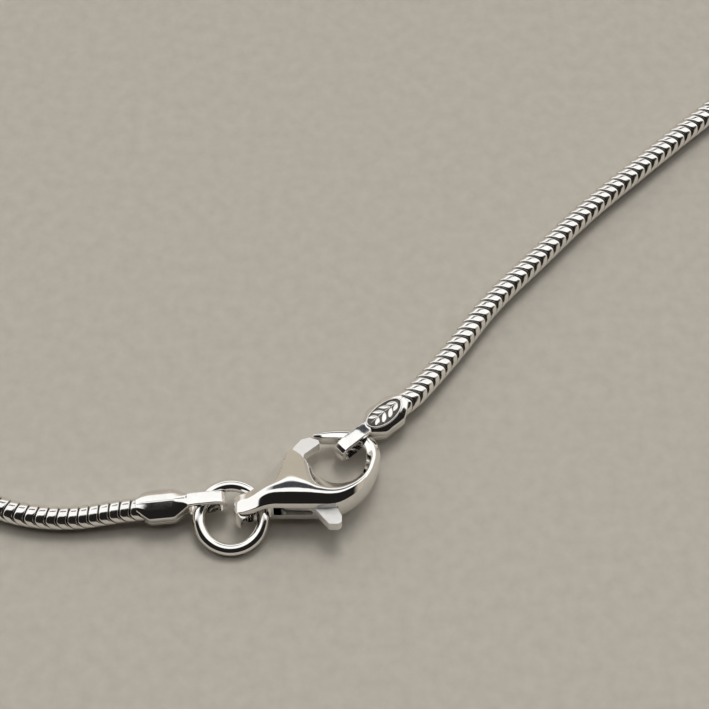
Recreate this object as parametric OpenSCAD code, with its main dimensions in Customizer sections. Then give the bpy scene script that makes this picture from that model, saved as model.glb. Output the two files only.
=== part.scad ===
/* [Chain] */
// Outer diameter of the snake chain
chain_d = 2; // [1.8:0.05:2.1]
// Depth that the chain runs into each end cap
chain_seat = 3; // [2.6:0.1:3.2]
// Running clearance round the chain inside an end cap
seat_gap = 0.05; // [0.02:0.01:0.1]

/* [End caps] */
// Length of an end cap from its mouth to the nose of its bail
cap_len = 7.45; // [7:0.05:8]
// Width of an end cap over its side rims
cap_w = 2.7; // [2.5:0.05:3]
// Wall of an end cap above and below the chain
cap_wall = 0.2; // [0.15:0.05:0.3]
// Height of the flat side rim of an end cap
cap_rim_h = 1.28; // [1:0.02:1.5]
// Width of the leaf tip that lies over the chain at the mouth
cap_tip_w = 1.15; // [0.9:0.05:1.4]
// Width of the strap that forms the bail of an end cap
strap_w = 1.15; // [1:0.05:1.2]
// Thickness of that strap
strap_t = 0.36; // [0.3:0.02:0.38]
// Inside height of the bail
bail_h = 1.56; // [1.54:0.02:1.62]
// Inside length of the bail
bail_len = 2.8; // [2.6:0.05:3]
// Height that the ornament stands above the face of an end cap
relief_h = 0.1; // [0.06:0.02:0.14]

/* [Jump ring] */
// Outer diameter of the jump ring
ring_od = 6.4; // [6.2:0.1:6.8]
// Diameter of the jump ring's wire
ring_wire = 1.05; // [0.95:0.05:1.1]

/* [Clasp] */
// Length of the clasp body from the nose of its tail to the side of its hook
clasp_len = 12.05; // [11.6:0.05:12.6]
// Width of the clasp body from its spine to the far side of its hook
clasp_w = 7.5; // [7.3:0.1:7.8]
// Thickness of the clasp body at its ridge
clasp_t = 3.7; // [3.6:0.05:3.8]
// Height of the slot that holds the lever
slot_h = 1.14; // [1:0.02:1.16]
// Height of the eye in the clasp's tail
eye_h = 2.15; // [2.1:0.05:2.2]
// Length of the eye in the clasp's tail
eye_len = 2.45; // [2.3:0.05:2.5]
// Thickness of the strap below that eye
eye_floor = 0.35; // [0.3:0.05:0.4]
// Slope of the lying clasp, down towards its far side
clasp_roll = 6.5; // [5:0.5:7]
// Height of the clasp's underside above the surface at its spine
clasp_lift = 0.28; // [0.2:0.01:0.35]

/* [Lever] */
// Clearance above and below the lever in its slot
lever_gap = 0.08; // [0.05:0.01:0.12]
// Diameter of the lever's pivot pin
pin_d = 0.8; // [0.6:0.05:0.9]
// Running clearance round the pivot pin
pin_gap = 0.04; // [0.02:0.01:0.08]

/* [Layout] */
// Angle on the jump ring from its centre to the clasp's eye
ring_to_clasp = 28; // [26:1:30]
// Slack between the jump ring and the end of the clasp's eye
ring_slack = 0.1; // [0.06:0.01:0.2]
// Angle on the jump ring from its centre to the left end cap's bail
ring_to_cap = 153.6; // [150:0.2:156]
// Distance from the inner end of the left bail to the middle of the ring's wire
left_in_bail = 1.1; // [0.9:0.05:1.3]
// Direction that the left end cap points in
left_heading = 5; // [2:0.5:8]
// Distance from the inner end of the right bail to the middle of the clasp's hook
right_in_bail = 0.78; // [0.7:0.02:1]
// Direction that the right end cap points in
right_heading = 222; // [219:0.5:224]

/* [Hidden] */
silver = [0.86, 0.85, 0.83];

// Small heights and margins
floor_gap = 0.02;
hook_drop = 0.045;
over = 1;
chain_sides = 8;
chain_step = 6;
corner_steps = 4;
round_sides = 48;
ring_sides = 96;
wire_sides = 32;

function unit(v) = v / norm(v);
function heading(a, p = 0) = [cos(a) * cos(p), sin(a) * cos(p), sin(p)];
function flat(v) = [v[0], v[1]];
function lift(v, z) = [v[0], v[1], z];

// A closed skin through sections that all have the same number of points
module loft(sections) {
    n = len(sections[0]);
    last = len(sections) - 1;
    middles = [for (s = [sections[0], sections[last]]) [for (p = s) 1] * s / n];
    points = concat([for (s = sections, p = s) p], middles);
    sides = [for (i = [0:last - 1], j = [0:n - 1])
        let (a = i * n + j, b = i * n + (j + 1) % n, c = a + n, d = b + n)
        each [[a, d, b], [a, c, d]]];
    start = [for (j = [0:n - 1]) [(last + 1) * n, j, (j + 1) % n]];
    end = [for (j = [0:n - 1]) [(last + 1) * n + 1, last * n + (j + 1) % n, last * n + j]];
    polyhedron(points, concat(sides, start, end), convexity = 6);
}

// The arc that rounds corner b between a and c, whose third number is the radius
function corner(a, b, c) =
    let (u = unit(flat(a) - flat(b)), v = unit(flat(c) - flat(b)), half = acos(u * v) / 2)
    let (centre = flat(b) + unit(u + v) * b[2] / sin(half))
    let (from = flat(b) + u * b[2] / tan(half) - centre, to = flat(b) + v * b[2] / tan(half) - centre)
    let (turn = atan2(from[0] * to[1] - from[1] * to[0], from * to))
    [for (k = [0:corner_steps])
        let (t = turn * k / corner_steps)
        centre + [from[0] * cos(t) - from[1] * sin(t), from[0] * sin(t) + from[1] * cos(t)]];

// An outline of straight sides whose corners are rounded
function rounded(p) =
    let (n = len(p))
    [for (i = [0:n - 1]) each corner(p[(i + n - 1) % n], p[i], p[(i + 1) % n])];

// Clasp. Its own frame has X along the spine towards the hook, Y to the far side and Z up,
// with the middle of the clasp's thickness at half of clasp_t.
tail_x = -5.9;
spine_y = -1.45;
mid_z = clasp_t / 2;
wall_share = 0.65;
tail_level = 2;
near_level = 0.25;
near_bend = 0.1;
far_level = 0.2;
far_bend = 0.06;
pin_bite = 0.45;

// Each row: outer point, inner point, then the ridge's place between them and two half
// thicknesses, at the ridge and at the inner edge, and in the tail that of the lower half at the ridge.
// Lengths run from the tail's nose as shares of clasp_len, widths from the spine as shares of
// clasp_w, thicknesses as shares of clasp_t.
CLASP_ROWS = [
    [0.000, -0.080, 0.000, 0.055, 0.500, 0.135, 0.115, 0.260],
    [0.012, -0.118, 0.006, 0.085, 0.500, 0.205, 0.175, 0.370],
    [0.041, -0.138, 0.038, 0.108, 0.500, 0.275, 0.235, 0.440],
    [0.083, -0.134, 0.083, 0.122, 0.500, 0.315, 0.262, 0.470],
    [0.124, -0.116, 0.124, 0.158, 0.500, 0.360, 0.275, 0.480],
    [0.166, -0.090, 0.166, 0.225, 0.460, 0.410, 0.268, 0.485],
    [0.216, -0.060, 0.216, 0.325, 0.380, 0.460, 0.240, 0.490],
    [0.266, -0.043, 0.266, 0.440, 0.290, 0.490, 0.215],
    [0.307, -0.043, 0.307, 0.550, 0.245, 0.500, 0.197],
    [0.340, -0.043, 0.338, 0.640, 0.220, 0.500, 0.184],
    [0.365, -0.043, 0.360, 0.695, 0.208, 0.500, 0.180],
    [0.398, -0.043, 0.386, 0.712, 0.205, 0.500, 0.178],
    [0.427, -0.043, 0.415, 0.690, 0.210, 0.500, 0.178],
    [0.465, -0.043, 0.460, 0.625, 0.225, 0.500, 0.178],
    [0.506, -0.043, 0.503, 0.538, 0.250, 0.500, 0.177],
    [0.552, -0.043, 0.548, 0.405, 0.300, 0.497, 0.176],
    [0.598, -0.043, 0.595, 0.332, 0.340, 0.488, 0.176],
    [0.651, -0.040, 0.651, 0.287, 0.370, 0.474, 0.176],
    [0.718, -0.015, 0.714, 0.270, 0.390, 0.452, 0.178],
    [0.784, 0.045, 0.768, 0.283, 0.400, 0.430, 0.180],
    [0.851, 0.135, 0.820, 0.317, 0.410, 0.405, 0.182],
    [0.909, 0.243, 0.862, 0.382, 0.415, 0.372, 0.180],
    [0.954, 0.366, 0.889, 0.470, 0.420, 0.335, 0.178],
    [0.983, 0.495, 0.900, 0.565, 0.425, 0.298, 0.174],
    [1.000, 0.624, 0.904, 0.655, 0.430, 0.250, 0.160],
    [0.992, 0.746, 0.897, 0.735, 0.440, 0.208, 0.148],
    [0.963, 0.853, 0.876, 0.797, 0.460, 0.182, 0.140],
    [0.913, 0.933, 0.842, 0.838, 0.480, 0.172, 0.138],
    [0.846, 0.980, 0.801, 0.862, 0.480, 0.172, 0.138],
    [0.763, 1.000, 0.747, 0.873, 0.480, 0.172, 0.138],
    [0.689, 1.000, 0.685, 0.876, 0.480, 0.172, 0.138],
    [0.622, 0.984, 0.627, 0.876, 0.480, 0.170, 0.137],
    [0.573, 0.960, 0.585, 0.880, 0.480, 0.162, 0.130],
    [0.533, 0.936, 0.541, 0.893, 0.500, 0.140, 0.104],
    [0.519, 0.930, 0.525, 0.902, 0.500, 0.104, 0.076]];

OUTER_STEPS = [0, 0.35, 0.6, 0.76, 1];
INNER_STEPS = [0.12, 0.2, 0.3, 0.6, 1];

// The fall from the ridge to an edge, from 0 to 1: level up to a share of the way, then an even slope
function bend(t, level, radius) = sqrt(pow(t - level, 2) + pow(radius, 2)) + t - level;
function fall(t, level, radius) =
    (bend(t, level, radius) - bend(0, level, radius)) / (bend(1, level, radius) - bend(0, level, radius));

function clasp_place(x, y) = [tail_x + x * clasp_len, spine_y + y * clasp_w];

function clasp_section(row) =
    let (outer = clasp_place(row[0], row[1]), inner = clasp_place(row[2], row[3]))
    let (ridge = outer + (inner - outer) * row[4], h = row[5] * clasp_t, e = row[6] * clasp_t)
    let (below = row[7] == undef ? 1 : row[7] / row[5])
    let (drop = (1 - wall_share) * max(0.1, 1 - tail_level * (below - 1)))
    let (top = concat(
        [for (u = OUTER_STEPS)
            lift(outer + (ridge - outer) * u, h * (1 - drop * fall(1 - u, near_level, near_bend)))],
        [for (t = INNER_STEPS)
            lift(ridge + (inner - ridge) * t, h - (h - e) * fall(t, far_level, far_bend))]))
    let (n = len(top))
    [for (i = [0:2 * n - 1])
        let (p = top[i < n ? i : 2 * n - 1 - i])
        [p[0], p[1], mid_z + (i < n ? -p[2] * below : p[2])]];

// Places on the clasp, in its own frame
eye_end_x = tail_x + 0.249 * clasp_len;
eye_y = spine_y + 0.12 * clasp_w;
wire_up = 0.95;
eye_z = eye_floor + wire_up;
eye_crown = 1.5;
eye_corner = 0.35;
eye_fall = 0.8;
pivot = clasp_place(0.427, 0.347);
pin_len = slot_h + 2 * pin_bite;
hook_seat = clasp_place(0.852, 0.911);

// The slot's outline, open at the spine and at the gate
SLOT = [
    [0.269, -0.100, 0.1], [0.269, 0.227, 0.6], [0.345, 0.440, 1.5], [0.363, 0.640, 1.2],
    [0.388, 0.760, 0.4], [0.398, 0.880, 0.1], [0.600, 0.640, 0.1], [0.535, 0.560, 0.2],
    [0.531, 0.373, 0.4], [0.664, 0.213, 0.5], [0.707, 0.040, 0.3], [0.714, -0.100, 0.1]];

// The lever's outline: gate, arm, tail, thumb tab and arm
LEVER = [
    [0.581, 0.808, 0.20], [0.571, 0.852, 0.12], [0.508, 0.890, 0.10], [0.452, 0.864, 0.40],
    [0.397, 0.755, 0.15], [0.378, 0.653, 0.60], [0.358, 0.333, 0.60], [0.311, 0.140, 0.40],
    [0.323, 0.043, 0.35], [0.349, 0.011, 0.20], [0.527, 0.000, 0.30], [0.651, -0.243, 0.42],
    [0.736, -0.239, 0.42], [0.737, -0.134, 0.60], [0.693, 0.013, 0.30], [0.647, 0.187, 0.50],
    [0.515, 0.360, 0.50], [0.490, 0.520, 0.50], [0.466, 0.653, 0.40]];

function clasp_outline(p) = rounded([for (c = p) lift(clasp_place(c[0], c[1]), c[2])]);

// From the clasp's own frame to the layout
function clasp_to_layout(p) =
    [p[0], p[1] * cos(clasp_roll) + p[2] * sin(clasp_roll),
        clasp_lift - p[1] * sin(clasp_roll) + p[2] * cos(clasp_roll)];

// Jump ring: its near side rests on the surface and its wire runs through the clasp's eye
ring_r = (ring_od - ring_wire) / 2;
eye_seat = clasp_to_layout([eye_end_x, eye_y, eye_z]);
ring_rest_z = ring_wire / 2 + floor_gap;
ring_tilt = asin((eye_seat[2] - ring_rest_z) / (ring_r * (1 + sin(ring_to_clasp))));
function on_ring(a) = ring_r * [cos(a), sin(a) * cos(ring_tilt), sin(a) * sin(ring_tilt)];
ring_at = [eye_end_x - ring_slack - ring_od / 2, eye_seat[1] - on_ring(ring_to_clasp)[1],
    eye_seat[2] - on_ring(ring_to_clasp)[2]];

// End caps: X runs along the cap from its mouth to its nose
cap_h = chain_d + 2 * (seat_gap + cap_wall);
bail_out = bail_h / 2 + strap_t;
bail_from = cap_len - strap_t - bail_len;
left_reach = bail_from + left_in_bail;
right_reach = bail_from + right_in_bail;
left_rest_z = cap_h / 2 + relief_h + 2 * floor_gap;
right_rest_z = cap_h / 2 + 4 * floor_gap;
bore_d = chain_d + 2 * seat_gap;
bore_depth = chain_seat + 0.15;

left_seat = ring_at + on_ring(ring_to_cap);
right_seat = clasp_to_layout([hook_seat[0], hook_seat[1], mid_z]) + [0, 0, hook_drop];
left_pitch = asin((left_seat[2] - left_rest_z) / left_reach);
right_pitch = asin((right_seat[2] - right_rest_z) / right_reach);
left_mouth = left_seat - left_reach * heading(left_heading, left_pitch);
right_mouth = right_seat - right_reach * heading(right_heading, right_pitch);

// Each row: place along the cap as a share of cap_len, then the half width, the half height,
// the half width of the crown and the half height of the rim, as shares of the sizes below.
// The first rows share the body's sizes, the last ones the strap's.
CAP_BODY = [
    [0.000, 0.43, 0.93, 0.10, 1.53], [0.024, 0.54, 0.97, 0.10, 1.48], [0.067, 0.74, 1.00, 0.10, 1.33],
    [0.128, 0.97, 1.00, 0.10, 1.04], [0.175, 1.00, 1.00, 0.10, 1.00], [0.300, 1.00, 1.00, 0.10, 1.00],
    [0.400, 1.00, 1.00, 0.10, 1.00], [0.450, 0.88, 1.00, 0.14, 1.04], [0.523, 0.62, 0.94, 0.20, 1.16],
    [0.560, 0.48, 0.87, 0.27, 1.30]];
CAP_STRAP = [
    [0.580, 1.03, 0.93, 0.86, 0.82], [0.660, 1.00, 1.00, 0.86, 0.89], [0.880, 1.00, 1.00, 0.86, 0.89],
    [0.948, 0.98, 0.86, 0.84, 0.75], [0.984, 0.94, 0.62, 0.80, 0.52], [1.000, 0.86, 0.34, 0.74, 0.28]];

function cap_section(x, w, h, crown, rim) =
    let (mid_w = (w + crown) / 2, mid_h = (h * 3 + rim * 2) / 5)
    [[x, -w, -rim], [x, -mid_w, -mid_h], [x, -crown, -h], [x, crown, -h], [x, mid_w, -mid_h], [x, w, -rim],
        [x, w, rim], [x, mid_w, mid_h], [x, crown, h], [x, -crown, h], [x, -mid_w, mid_h], [x, -w, rim]];

function cap_sections(grow) = concat(
    [for (r = CAP_BODY)
        cap_section(r[0] * cap_len, max(r[1] * cap_w, cap_tip_w) / 2 + grow, r[2] * cap_h / 2 + grow,
            r[3] * cap_w / 2, r[4] * cap_rim_h / 2 + grow)],
    [for (r = CAP_STRAP)
        cap_section(r[0] * cap_len, r[1] * strap_w / 2, r[2] * bail_out, r[3] * strap_w / 2,
            r[4] * bail_out)]);

// The ornament on one face: an oval frame round a stem with leaves
frame_at = 0.305 * cap_len;
frame_len = 0.5 * cap_len;
frame_w = 0.7 * cap_w;
frame_line = 0.13;
leaf_len = 0.14 * cap_len;
leaf_w = 0.13 * cap_w;
leaf_angle = 38;
relief_z = cap_rim_h / 2;
relief_top = cap_h / 2 + relief_h - relief_z;

// Route of the chain on the surface, in the layout's plane, from the left cap round to the right
ROUTE = [
    [-19, -1.5], [-22.2, -1.4], [-25.4, -0.6], [-30, 1.7], [-37, 6.5], [-47, 16], [-56, 28], [-63, 43],
    [-67, 60], [-67.5, 78], [-65, 96], [-59, 113.3], [-49, 128.7], [-36, 140.8], [-20, 149.3], [-2, 153.3],
    [16, 152.3], [33, 146.8], [48, 136.8], [59, 123.4], [65.5, 107], [67, 90], [63, 74], [55, 60.5],
    [47, 50], [38.5, 41.2], [33.9, 37], [29.2, 32.7], [24.6, 28.4], [20.2, 23.7], [15.9, 19], [12.3, 14]];
chain_lead = 1.2;
LEFT_AXIS = heading(left_heading, left_pitch);
RIGHT_AXIS = heading(right_heading, right_pitch);
KNOTS = concat([left_mouth - chain_lead * LEFT_AXIS], [for (p = ROUTE) lift(p, chain_d / 2)],
    [right_mouth - chain_lead * RIGHT_AXIS]);

// A smooth curve through the knots
function spline(a, b, c, d, t) =
    0.5 * (2 * b + (c - a) * t + (2 * a - 5 * b + 4 * c - d) * t * t + (3 * b - a - 3 * c + d) * t * t * t);
last_knot = len(KNOTS) - 1;
CURVE = [for (i = [0:last_knot - 1])
    let (a = i == 0 ? left_mouth : KNOTS[i - 1], b = KNOTS[i], c = KNOTS[i + 1])
    let (d = i == last_knot - 1 ? right_mouth : KNOTS[i + 2], n = max(1, round(norm(c - b) / chain_step)))
    each [for (k = [0:n - 1])
        let (p = spline(a, b, c, d, k / n))
        lift(p, max(p[2], chain_d / 2))]];
PATH = concat([left_mouth + chain_seat * LEFT_AXIS, left_mouth], CURVE, [KNOTS[last_knot], right_mouth,
    right_mouth + chain_seat * RIGHT_AXIS]);

function chain_section(i) =
    let (n = len(PATH) - 1, along = unit(PATH[min(i + 1, n)] - PATH[max(i - 1, 0)]))
    let (side = unit(cross([0, 0, 1], along)), up = cross(along, side))
    [for (k = [0:chain_sides - 1])
        let (a = 360 * k / chain_sides)
        PATH[i] + chain_d / 2 * (cos(a) * side + sin(a) * up)];

// The origin is the middle of the whole loop on the surface
path_x = [for (p = PATH) p[0]];
path_y = [for (p = PATH) p[1]];
near_y = ring_at[1] - ring_r * cos(ring_tilt) - ring_wire / 2;
home = -[(max(path_x) + min(path_x)) / 2, (max(path_y) + chain_d / 2 + near_y) / 2, 0];

module in_layout() {
    translate(home) children();
}

module in_clasp() {
    in_layout() translate([0, 0, clasp_lift]) rotate([-clasp_roll, 0, 0]) children();
}

module in_cap(mouth, turn, pitch) {
    in_layout() translate(mouth) rotate([0, -pitch, turn]) children();
}

module chain() {
    color(silver) in_layout() loft([for (i = [0:len(PATH) - 1]) chain_section(i)]);
}

module leaf() {
    reach = (leaf_len * leaf_len / leaf_w + leaf_w) / 4;
    intersection() {
        translate([leaf_len / 2, reach - leaf_w / 2]) circle(r = reach, $fn = round_sides);
        translate([leaf_len / 2, leaf_w / 2 - reach]) circle(r = reach, $fn = round_sides);
    }
}

module oval(length, width) {
    polygon([for (k = [0:23]) [length / 2 * cos(k * 15), width / 2 * sin(k * 15)]]);
}

module ornament() {
    intersection() {
        loft(cap_sections(relief_h));
        translate([frame_at, 0, relief_z]) linear_extrude(relief_top) {
            difference() {
                oval(frame_len, frame_w);
                oval(frame_len - 2 * frame_line, frame_w - 2 * frame_line);
            }
            for (x = [-0.3, -0.02, 0.26], s = [-1, 1])
                translate([x * frame_len, 0]) rotate(s * leaf_angle) leaf();
            translate([-0.36 * frame_len, -frame_line / 4])
                square([0.72 * frame_len, frame_line / 2]);
        }
    }
}

module bail_opening() {
    h = bail_h / 2;
    far = bail_from + bail_len;
    translate([0, cap_w, 0]) rotate([90, 0, 0]) linear_extrude(2 * cap_w)
        polygon(rounded([[bail_from, -h, 0.3], [far, -h, 0.55], [far, h, 0.55], [bail_from, h, 0.3]]));
}

// ornament_up is 1 where the ornament faces up, and -1 where it faces the surface
module end_cap(ornament_up) {
    difference() {
        union() {
            loft(cap_sections(0));
            rotate([ornament_up > 0 ? 0 : 180, 0, 0]) ornament();
        }
        translate([-over, 0, 0]) rotate([0, 90, 0])
            cylinder(d = bore_d, h = bore_depth + over, $fn = round_sides);
        bail_opening();
    }
}

module end_cap_left() {
    color(silver) in_cap(left_mouth, left_heading, left_pitch) end_cap(-1);
}

module end_cap_right() {
    color(silver) in_cap(right_mouth, right_heading, right_pitch) end_cap(1);
}

module jump_ring() {
    color(silver) in_layout() translate(ring_at) rotate([ring_tilt, 0, 0])
        rotate_extrude($fn = ring_sides) translate([ring_r, 0]) circle(d = ring_wire, $fn = wire_sides);
}

// The eye through the tail, whose floor falls away on the side of the spine
function eye_outline(low) =
    let (from = eye_end_x - eye_len, high = eye_floor + eye_h)
    rounded([[from, low, eye_corner], [eye_end_x, low, eye_corner], [eye_end_x, high, eye_corner],
        [from, high, eye_crown]]);

module tail_eye() {
    loft([for (s = [1, 0, -1])
        [for (p = eye_outline(eye_floor - (s < 0 ? eye_fall : 0))) [p[0], eye_y + s * clasp_w / 2, p[1]]]]);
}

module clasp_body() {
    color(silver) in_clasp() difference() {
        loft([for (r = CLASP_ROWS) clasp_section(r)]);
        tail_eye();
        translate([0, 0, mid_z - slot_h / 2]) linear_extrude(slot_h) polygon(clasp_outline(SLOT));
        translate([pivot[0], pivot[1], mid_z - pin_len / 2 - pin_gap])
            cylinder(d = pin_d + 2 * pin_gap, h = pin_len + 2 * pin_gap, $fn = round_sides);
    }
}

module clasp_lever() {
    color(silver) in_clasp() translate([0, 0, mid_z - slot_h / 2 + lever_gap]) difference() {
        linear_extrude(slot_h - 2 * lever_gap) polygon(clasp_outline(LEVER));
        translate([pivot[0], pivot[1], -over])
            cylinder(d = pin_d + 2 * pin_gap, h = slot_h + 2 * over, $fn = round_sides);
    }
}

module lever_pin() {
    color(silver) in_clasp() translate([pivot[0], pivot[1], mid_z - pin_len / 2])
        cylinder(d = pin_d, h = pin_len, $fn = round_sides);
}

chain();
end_cap_left();
end_cap_right();
jump_ring();
clasp_body();
clasp_lever();
lever_pin();
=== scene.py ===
import math

import bmesh
import bpy
import numpy as np
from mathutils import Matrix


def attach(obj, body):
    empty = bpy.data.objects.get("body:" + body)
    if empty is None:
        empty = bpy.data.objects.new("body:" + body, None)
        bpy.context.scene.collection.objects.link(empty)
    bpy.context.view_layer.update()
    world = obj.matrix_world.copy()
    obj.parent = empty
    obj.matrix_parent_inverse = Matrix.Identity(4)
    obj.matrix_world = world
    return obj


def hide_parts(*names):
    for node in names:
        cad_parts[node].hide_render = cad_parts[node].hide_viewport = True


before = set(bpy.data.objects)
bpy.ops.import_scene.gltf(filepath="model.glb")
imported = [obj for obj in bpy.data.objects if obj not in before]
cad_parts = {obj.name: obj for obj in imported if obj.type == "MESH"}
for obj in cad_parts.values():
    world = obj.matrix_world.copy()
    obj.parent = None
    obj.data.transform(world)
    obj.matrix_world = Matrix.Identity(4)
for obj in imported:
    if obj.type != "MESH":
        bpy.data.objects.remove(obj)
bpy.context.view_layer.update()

# ---------------------------------------------------------------- sizes in millimetres, as in the CAD source
CHAIN_D, CHAIN_SEAT, SEAT_GAP = 2.0, 3.0, 0.05
CAP_LEN, CAP_W, CAP_WALL, CAP_RIM_H, CAP_TIP_W = 7.45, 2.7, 0.2, 1.28, 1.15
STRAP_W, STRAP_T, BAIL_H, BAIL_LEN, RELIEF_H = 1.15, 0.36, 1.56, 2.8, 0.1
RING_OD, RING_WIRE = 6.4, 1.05
CLASP_LEN, CLASP_W, CLASP_T, SLOT_H = 12.05, 7.5, 3.7, 1.14
EYE_H, EYE_LEN, EYE_FLOOR, WIRE_UP, EYE_FALL = 2.15, 2.45, 0.35, 0.95, 0.8
EYE_CROWN, EYE_CORNER = 1.5, 0.35
CLASP_ROLL, CLASP_LIFT = 6.5, 0.28
LEVER_GAP, PIN_D, PIN_GAP, PIN_BITE = 0.08, 0.8, 0.04, 0.45
RING_TO_CLASP, RING_SLACK, RING_TO_CAP = 28, 0.1, 153.6
LEFT_IN_BAIL, LEFT_HEADING, RIGHT_IN_BAIL, RIGHT_HEADING = 1.1, 5, 0.78, 222
TAIL_X, SPINE_Y, MID_Z = -5.9, -1.45, CLASP_T / 2
FLOOR_GAP, HOOK_DROP, OVER = 0.02, 0.045, 1
BORE_MORE, CHAIN_LEAD, CHAIN_STEP = 0.15, 1.2, 6.0
WALL_SHARE, TAIL_LEVEL, LEAST_DROP = 0.65, 2, 0.1
NEAR_FALL, FAR_FALL = (0.25, 0.1), (0.2, 0.06)
BAIL_CORNER, BAIL_CROWN = 0.3, 0.55

# Each row: outer point, inner point, then the ridge's place between them and two half thicknesses,
# at the ridge and at the inner edge, and in the tail that of the lower half at the ridge
CLASP_TABLE = [
    [0.000, -0.080, 0.000, 0.055, 0.500, 0.135, 0.115, 0.260],
    [0.012, -0.118, 0.006, 0.085, 0.500, 0.205, 0.175, 0.370],
    [0.041, -0.138, 0.038, 0.108, 0.500, 0.275, 0.235, 0.440],
    [0.083, -0.134, 0.083, 0.122, 0.500, 0.315, 0.262, 0.470],
    [0.124, -0.116, 0.124, 0.158, 0.500, 0.360, 0.275, 0.480],
    [0.166, -0.090, 0.166, 0.225, 0.460, 0.410, 0.268, 0.485],
    [0.216, -0.060, 0.216, 0.325, 0.380, 0.460, 0.240, 0.490],
    [0.266, -0.043, 0.266, 0.440, 0.290, 0.490, 0.215], [0.307, -0.043, 0.307, 0.550, 0.245, 0.500, 0.197],
    [0.340, -0.043, 0.338, 0.640, 0.220, 0.500, 0.184], [0.365, -0.043, 0.360, 0.695, 0.208, 0.500, 0.180],
    [0.398, -0.043, 0.386, 0.712, 0.205, 0.500, 0.178], [0.427, -0.043, 0.415, 0.690, 0.210, 0.500, 0.178],
    [0.465, -0.043, 0.460, 0.625, 0.225, 0.500, 0.178], [0.506, -0.043, 0.503, 0.538, 0.250, 0.500, 0.177],
    [0.552, -0.043, 0.548, 0.405, 0.300, 0.497, 0.176], [0.598, -0.043, 0.595, 0.332, 0.340, 0.488, 0.176],
    [0.651, -0.040, 0.651, 0.287, 0.370, 0.474, 0.176], [0.718, -0.015, 0.714, 0.270, 0.390, 0.452, 0.178],
    [0.784, 0.045, 0.768, 0.283, 0.400, 0.430, 0.180], [0.851, 0.135, 0.820, 0.317, 0.410, 0.405, 0.182],
    [0.909, 0.243, 0.862, 0.382, 0.415, 0.372, 0.180], [0.954, 0.366, 0.889, 0.470, 0.420, 0.335, 0.178],
    [0.983, 0.495, 0.900, 0.565, 0.425, 0.298, 0.174], [1.000, 0.624, 0.904, 0.655, 0.430, 0.250, 0.160],
    [0.992, 0.746, 0.897, 0.735, 0.440, 0.208, 0.148], [0.963, 0.853, 0.876, 0.797, 0.460, 0.182, 0.140],
    [0.913, 0.933, 0.842, 0.838, 0.480, 0.172, 0.138], [0.846, 0.980, 0.801, 0.862, 0.480, 0.172, 0.138],
    [0.763, 1.000, 0.747, 0.873, 0.480, 0.172, 0.138], [0.689, 1.000, 0.685, 0.876, 0.480, 0.172, 0.138],
    [0.622, 0.984, 0.627, 0.876, 0.480, 0.170, 0.137], [0.573, 0.960, 0.585, 0.880, 0.480, 0.162, 0.130],
    [0.533, 0.936, 0.541, 0.893, 0.500, 0.140, 0.104], [0.519, 0.930, 0.525, 0.902, 0.500, 0.104, 0.076]]
CLASP_ROWS = [row if len(row) == 8 else [*row, row[5]] for row in CLASP_TABLE]
# Outlines of the slot and the lever: a share of the clasp's length, one of its width, and a corner radius
SLOT = [
    [0.269, -0.100, 0.1], [0.269, 0.227, 0.6], [0.345, 0.440, 1.5], [0.363, 0.640, 1.2],
    [0.388, 0.760, 0.4], [0.398, 0.880, 0.1], [0.600, 0.640, 0.1], [0.535, 0.560, 0.2],
    [0.531, 0.373, 0.4], [0.664, 0.213, 0.5], [0.707, 0.040, 0.3], [0.714, -0.100, 0.1]]
LEVER = [
    [0.581, 0.808, 0.20], [0.571, 0.852, 0.12], [0.508, 0.890, 0.10], [0.452, 0.864, 0.40],
    [0.397, 0.755, 0.15], [0.378, 0.653, 0.60], [0.358, 0.333, 0.60], [0.311, 0.140, 0.40],
    [0.323, 0.043, 0.35], [0.349, 0.011, 0.20], [0.527, 0.000, 0.30], [0.651, -0.243, 0.42],
    [0.736, -0.239, 0.42], [0.737, -0.134, 0.60], [0.693, 0.013, 0.30], [0.647, 0.187, 0.50],
    [0.515, 0.360, 0.50], [0.490, 0.520, 0.50], [0.466, 0.653, 0.40]]
# Each row, all as shares: place along the cap, width, height, width of the crown, height of the rim
CAP_BODY = [
    [0.000, 0.43, 0.93, 0.10, 1.53], [0.024, 0.54, 0.97, 0.10, 1.48], [0.067, 0.74, 1.00, 0.10, 1.33],
    [0.128, 0.97, 1.00, 0.10, 1.04], [0.175, 1.00, 1.00, 0.10, 1.00], [0.300, 1.00, 1.00, 0.10, 1.00],
    [0.400, 1.00, 1.00, 0.10, 1.00], [0.450, 0.88, 1.00, 0.14, 1.04], [0.523, 0.62, 0.94, 0.20, 1.16],
    [0.560, 0.48, 0.87, 0.27, 1.30]]
CAP_STRAP = [
    [0.580, 1.03, 0.93, 0.86, 0.82], [0.660, 1.00, 1.00, 0.86, 0.89], [0.880, 1.00, 1.00, 0.86, 0.89],
    [0.948, 0.98, 0.86, 0.84, 0.75], [0.984, 0.94, 0.62, 0.80, 0.52], [1.000, 0.86, 0.34, 0.74, 0.28]]
# Knots of the chain's route on the surface, from the left cap round to the right one
ROUTE = [
    [-19, -1.5], [-22.2, -1.4], [-25.4, -0.6], [-30, 1.7], [-37, 6.5], [-47, 16], [-56, 28], [-63, 43],
    [-67, 60], [-67.5, 78], [-65, 96], [-59, 113.3], [-49, 128.7], [-36, 140.8], [-20, 149.3], [-2, 153.3],
    [16, 152.3], [33, 146.8], [48, 136.8], [59, 123.4], [65.5, 107], [67, 90], [63, 74], [55, 60.5],
    [47, 50], [38.5, 41.2], [33.9, 37], [29.2, 32.7], [24.6, 28.4], [20.2, 23.7], [15.9, 19], [12.3, 14]]

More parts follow.
